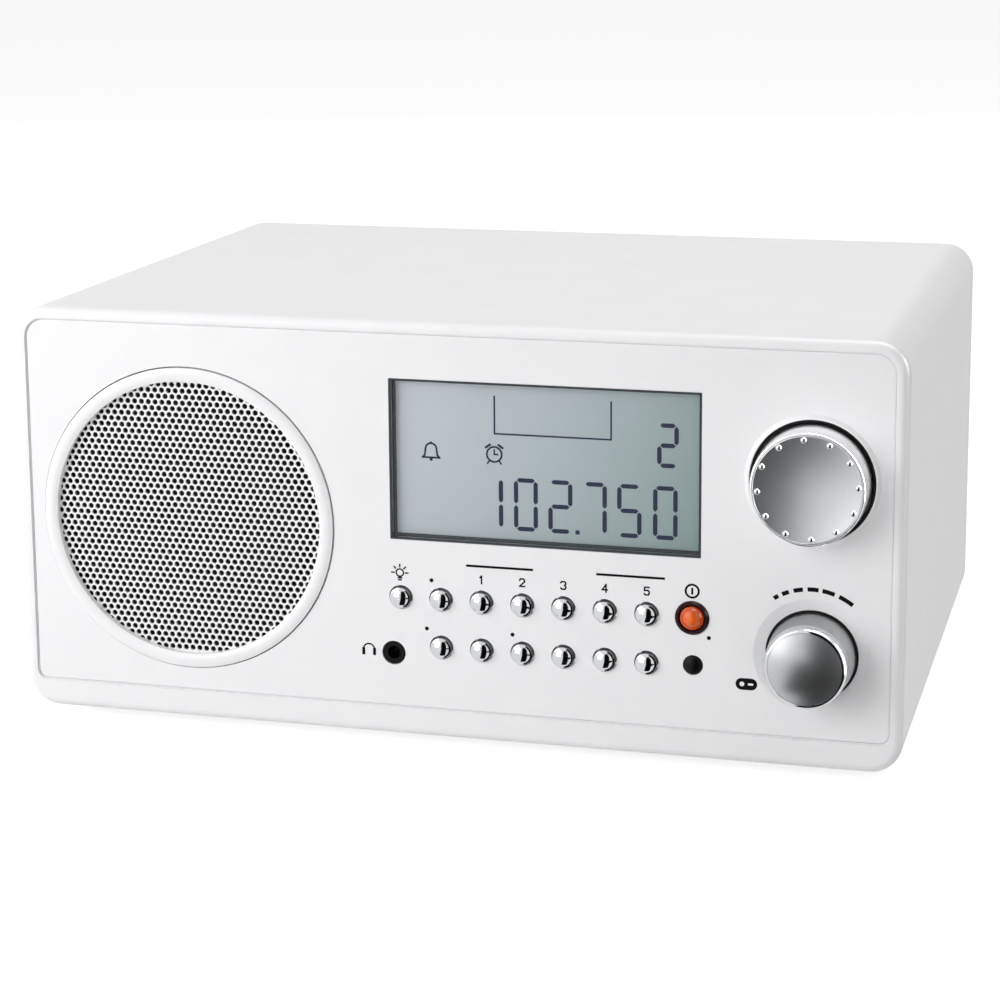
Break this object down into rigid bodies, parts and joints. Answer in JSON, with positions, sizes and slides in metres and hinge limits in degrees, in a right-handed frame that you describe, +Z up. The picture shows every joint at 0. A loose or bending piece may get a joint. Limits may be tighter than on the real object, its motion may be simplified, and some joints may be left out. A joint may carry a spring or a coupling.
{
  "type": "tabletop radio",
  "caption": "Tabletop radio: white moulded cabinet, round speaker grille, liquid crystal display, push buttons, power button, tuning knob and push-turn volume knob.",
  "frame": {"origin": "on the surface the feet stand on, under the middle of the radio's overall box", "axes": "+Z up, +X to the right of someone facing the radio, front towards -Y"},
  "size_m": [0.24, 0.1934, 0.115],
  "materials": {
    "white_abs": "moulded, soft gloss",
    "rear_abs": "moulded, fine grain",
    "white_steel": "punched and powder coated",
    "chrome_plate": "polished plating on moulded plastic",
    "satin_aluminium": "spun and satin anodised",
    "clear_acrylic": "clear, polished",
    "lcd_glass": "grey-green liquid crystal with a matt polariser",
    "light_guide": "milky acrylic",
    "dark_abs": "moulded, matt",
    "black_abs": "moulded, gloss",
    "orange_lens": "translucent, gloss",
    "dark_red_ring": "moulded, gloss",
    "black_rubber": "moulded",
    "foam": "die-cut foam",
    "zinc_steel": "zinc plated",
    "nickel_brass": "nickel plated",
    "ferrite": "sintered",
    "paper_pulp": "pressed pulp",
    "spider_cloth": "resin-dipped cotton",
    "copper_wire": "enamelled winding",
    "circuit_board": "glass-epoxy laminate",
    "tin_plate": "tinned sheet",
    "capacitor_sleeve": "shrunk sleeve"
  },
  "bodies": {
    "cabinet": {"cabinet_shell": "white_abs", "front_panel": "white_abs", "rear_panel": "rear_abs", "rubber_feet": "black_rubber", "inner_screws": "zinc_steel", "speaker_screws": "zinc_steel", "rear_screws": "zinc_steel", "grille_ring": "white_abs", "speaker_grille": "white_steel", "speaker_gasket": "foam", "speaker_frame": "zinc_steel", "speaker_magnet": "ferrite", "speaker_surround": "black_rubber", "speaker_spider": "spider_cloth", "display_frame": "dark_abs", "display_window": "clear_acrylic", "display_glass": "lcd_glass", "display_light": "light_guide", "power_bezel": "dark_red_ring", "key_switches": "black_abs", "key_board": "circuit_board", "headphone_socket": "black_abs", "sensor_lens": "black_abs", "tuning_encoder": "zinc_steel", "volume_encoder": "zinc_steel", "encoder_nuts": "nickel_brass", "main_board": "circuit_board", "tuner_can": "tin_plate", "capacitors": "capacitor_sleeve", "heat_sink": "satin_aluminium", "rear_jacks": "black_abs", "dc_socket": "black_abs", "aerial_socket": "nickel_brass", "aerial_nut": "nickel_brass", "ferrite_rod": "ferrite", "ferrite_coil": "copper_wire", "ferrite_holders": "black_abs"},
    "speaker_cone": {"speaker_cone": "paper_pulp", "dust_cap": "paper_pulp", "voice_coil": "copper_wire"},
    "tuning_knob": {"tuning_knob": "chrome_plate", "tuning_cap": "satin_aluminium", "tuning_shaft": "zinc_steel"},
    "volume_plunger": {"volume_plunger": "black_abs"},
    "volume_knob": {"volume_knob": "satin_aluminium", "volume_shaft": "zinc_steel"},
    "power_button": {"power_button": "orange_lens"},
    "light_button": {"light_button": "chrome_plate"},
    "band_button": {"band_button": "chrome_plate"},
    "preset_1_button": {"preset_1_button": "chrome_plate"},
    "preset_2_button": {"preset_2_button": "chrome_plate"},
    "preset_3_button": {"preset_3_button": "chrome_plate"},
    "preset_4_button": {"preset_4_button": "chrome_plate"},
    "preset_5_button": {"preset_5_button": "chrome_plate"},
    "scan_button": {"scan_button": "chrome_plate"},
    "display_button": {"display_button": "chrome_plate"},
    "set_button": {"set_button": "chrome_plate"},
    "select_button": {"select_button": "chrome_plate"},
    "hour_button": {"hour_button": "chrome_plate"},
    "minute_button": {"minute_button": "chrome_plate"}
  },
  "joints": [
    {"name": "light_press", "type": "slide", "parent": "cabinet", "child": "light_button", "axis": [0, 1, 0], "range_m": [0, 0.0005], "stiffness_N_per_m": 300},
    {"name": "band_press", "type": "slide", "parent": "cabinet", "child": "band_button", "axis": [0, 1, 0], "range_m": [0, 0.0005], "stiffness_N_per_m": 300},
    {"name": "preset_1_press", "type": "slide", "parent": "cabinet", "child": "preset_1_button", "axis": [0, 1, 0], "range_m": [0, 0.0005], "stiffness_N_per_m": 300},
    {"name": "preset_2_press", "type": "slide", "parent": "cabinet", "child": "preset_2_button", "axis": [0, 1, 0], "range_m": [0, 0.0005], "stiffness_N_per_m": 300},
    {"name": "preset_3_press", "type": "slide", "parent": "cabinet", "child": "preset_3_button", "axis": [0, 1, 0], "range_m": [0, 0.0005], "stiffness_N_per_m": 300},
    {"name": "preset_4_press", "type": "slide", "parent": "cabinet", "child": "preset_4_button", "axis": [0, 1, 0], "range_m": [0, 0.0005], "stiffness_N_per_m": 300},
    {"name": "preset_5_press", "type": "slide", "parent": "cabinet", "child": "preset_5_button", "axis": [0, 1, 0], "range_m": [0, 0.0005], "stiffness_N_per_m": 300},
    {"name": "scan_press", "type": "slide", "parent": "cabinet", "child": "scan_button", "axis": [0, 1, 0], "range_m": [0, 0.0005], "stiffness_N_per_m": 300},
    {"name": "display_press", "type": "slide", "parent": "cabinet", "child": "display_button", "axis": [0, 1, 0], "range_m": [0, 0.0005], "stiffness_N_per_m": 300},
    {"name": "set_press", "type": "slide", "parent": "cabinet", "child": "set_button", "axis": [0, 1, 0], "range_m": [0, 0.0005], "stiffness_N_per_m": 300},
    {"name": "select_press", "type": "slide", "parent": "cabinet", "child": "select_button", "axis": [0, 1, 0], "range_m": [0, 0.0005], "stiffness_N_per_m": 300},
    {"name": "hour_press", "type": "slide", "parent": "cabinet", "child": "hour_button", "axis": [0, 1, 0], "range_m": [0, 0.0005], "stiffness_N_per_m": 300},
    {"name": "minute_press", "type": "slide", "parent": "cabinet", "child": "minute_button", "axis": [0, 1, 0], "range_m": [0, 0.0005], "stiffness_N_per_m": 300},
    {"name": "power_press", "type": "slide", "parent": "cabinet", "child": "power_button", "axis": [0, 1, 0], "range_m": [0, 0.0005], "stiffness_N_per_m": 300},
    {"name": "tuning_turn", "type": "hinge", "parent": "cabinet", "child": "tuning_knob", "pos_m": [0.0962, -0.08375, 0.07845], "axis": [0, 1, 0], "continuous": true},
    {"name": "volume_push", "type": "slide", "parent": "cabinet", "child": "volume_plunger", "axis": [0, 1, 0], "range_m": [0, 0.0006], "stiffness_N_per_m": 800},
    {"name": "volume_turn", "type": "hinge", "parent": "volume_plunger", "child": "volume_knob", "pos_m": [0.0966, -0.08375, 0.0332], "axis": [0, 1, 0], "continuous": true},
    {"name": "cone_travel", "type": "slide", "parent": "cabinet", "child": "speaker_cone", "axis": [0, 1, 0], "range_m": [-0.001, 0.001], "stiffness_N_per_m": 1000}
  ]
}
